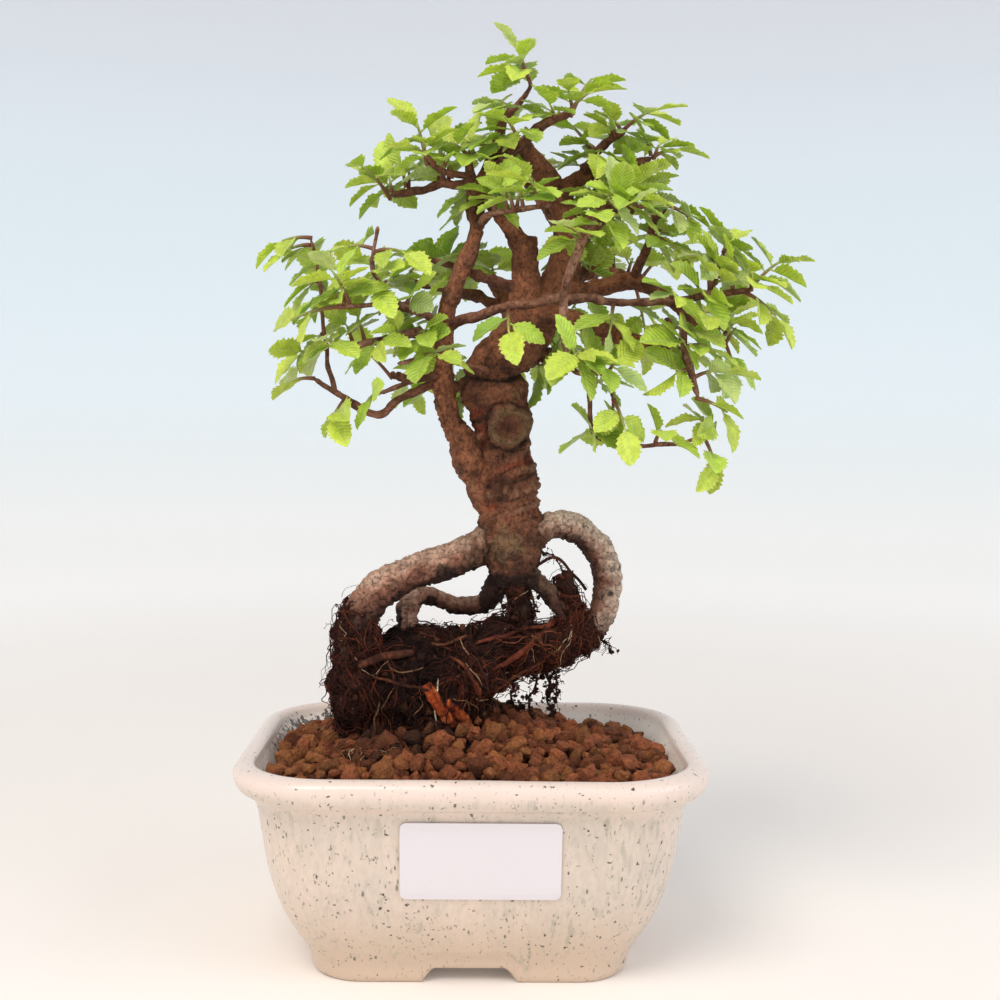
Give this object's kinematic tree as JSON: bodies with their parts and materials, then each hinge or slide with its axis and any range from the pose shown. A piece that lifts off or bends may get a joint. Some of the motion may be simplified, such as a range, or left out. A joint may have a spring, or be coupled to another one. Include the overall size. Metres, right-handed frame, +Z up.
{
  "type": "bonsai tree",
  "caption": "Young Chinese elm bonsai with bare, arched surface roots and a sparse, leafy crown, in a shallow oblong glazed pot with corner feet.",
  "frame": {"origin": "on the plane of the pot's feet, under the middle of the whole plant's bounding box", "axes": "+Z up through the crown, +X to the right along the pot's long side, -Y towards the front with the label"},
  "size_m": [0.184, 0.1328, 0.3028],
  "materials": {
    "glaze": "satin cream glaze with fine specks",
    "screen": "moulded, matt",
    "paper": "blank white paper",
    "clay": "loose fired clay granules",
    "peat": "fine roots matted with old peat",
    "bark": "rough grey-brown bark",
    "leaf": "living green leaves and young stems, satin"
  },
  "bodies": {
    "root": {"pot": "glaze", "drain_screen_left": "screen", "drain_screen_right": "screen", "soil": "clay", "root_mass": "peat", "wood": "bark", "label": "paper", "shoot_01": "leaf", "shoot_02": "leaf", "shoot_03": "leaf", "shoot_04": "leaf", "shoot_05": "leaf", "shoot_06": "leaf", "shoot_07": "leaf", "shoot_08": "leaf", "shoot_09": "leaf", "shoot_10": "leaf", "shoot_11": "leaf", "shoot_12": "leaf", "shoot_13": "leaf", "shoot_14": "leaf", "shoot_15": "leaf", "shoot_16": "leaf", "shoot_17": "leaf", "shoot_18": "leaf", "shoot_19": "leaf", "shoot_20": "leaf", "shoot_21": "leaf", "shoot_22": "leaf", "shoot_23": "leaf", "shoot_24": "leaf", "shoot_25": "leaf", "shoot_26": "leaf", "shoot_27": "leaf", "shoot_28": "leaf", "shoot_29": "leaf", "shoot_30": "leaf", "shoot_31": "leaf", "shoot_32": "leaf", "shoot_33": "leaf", "shoot_34": "leaf", "shoot_35": "leaf", "shoot_36": "leaf", "shoot_37": "leaf", "shoot_38": "leaf", "shoot_39": "leaf", "shoot_40": "leaf", "shoot_41": "leaf", "shoot_42": "leaf", "shoot_43": "leaf", "shoot_44": "leaf", "shoot_45": "leaf", "shoot_46": "leaf", "shoot_47": "leaf", "shoot_48": "leaf", "shoot_49": "leaf", "shoot_50": "leaf", "shoot_51": "leaf"}
  },
  "joints": []
}
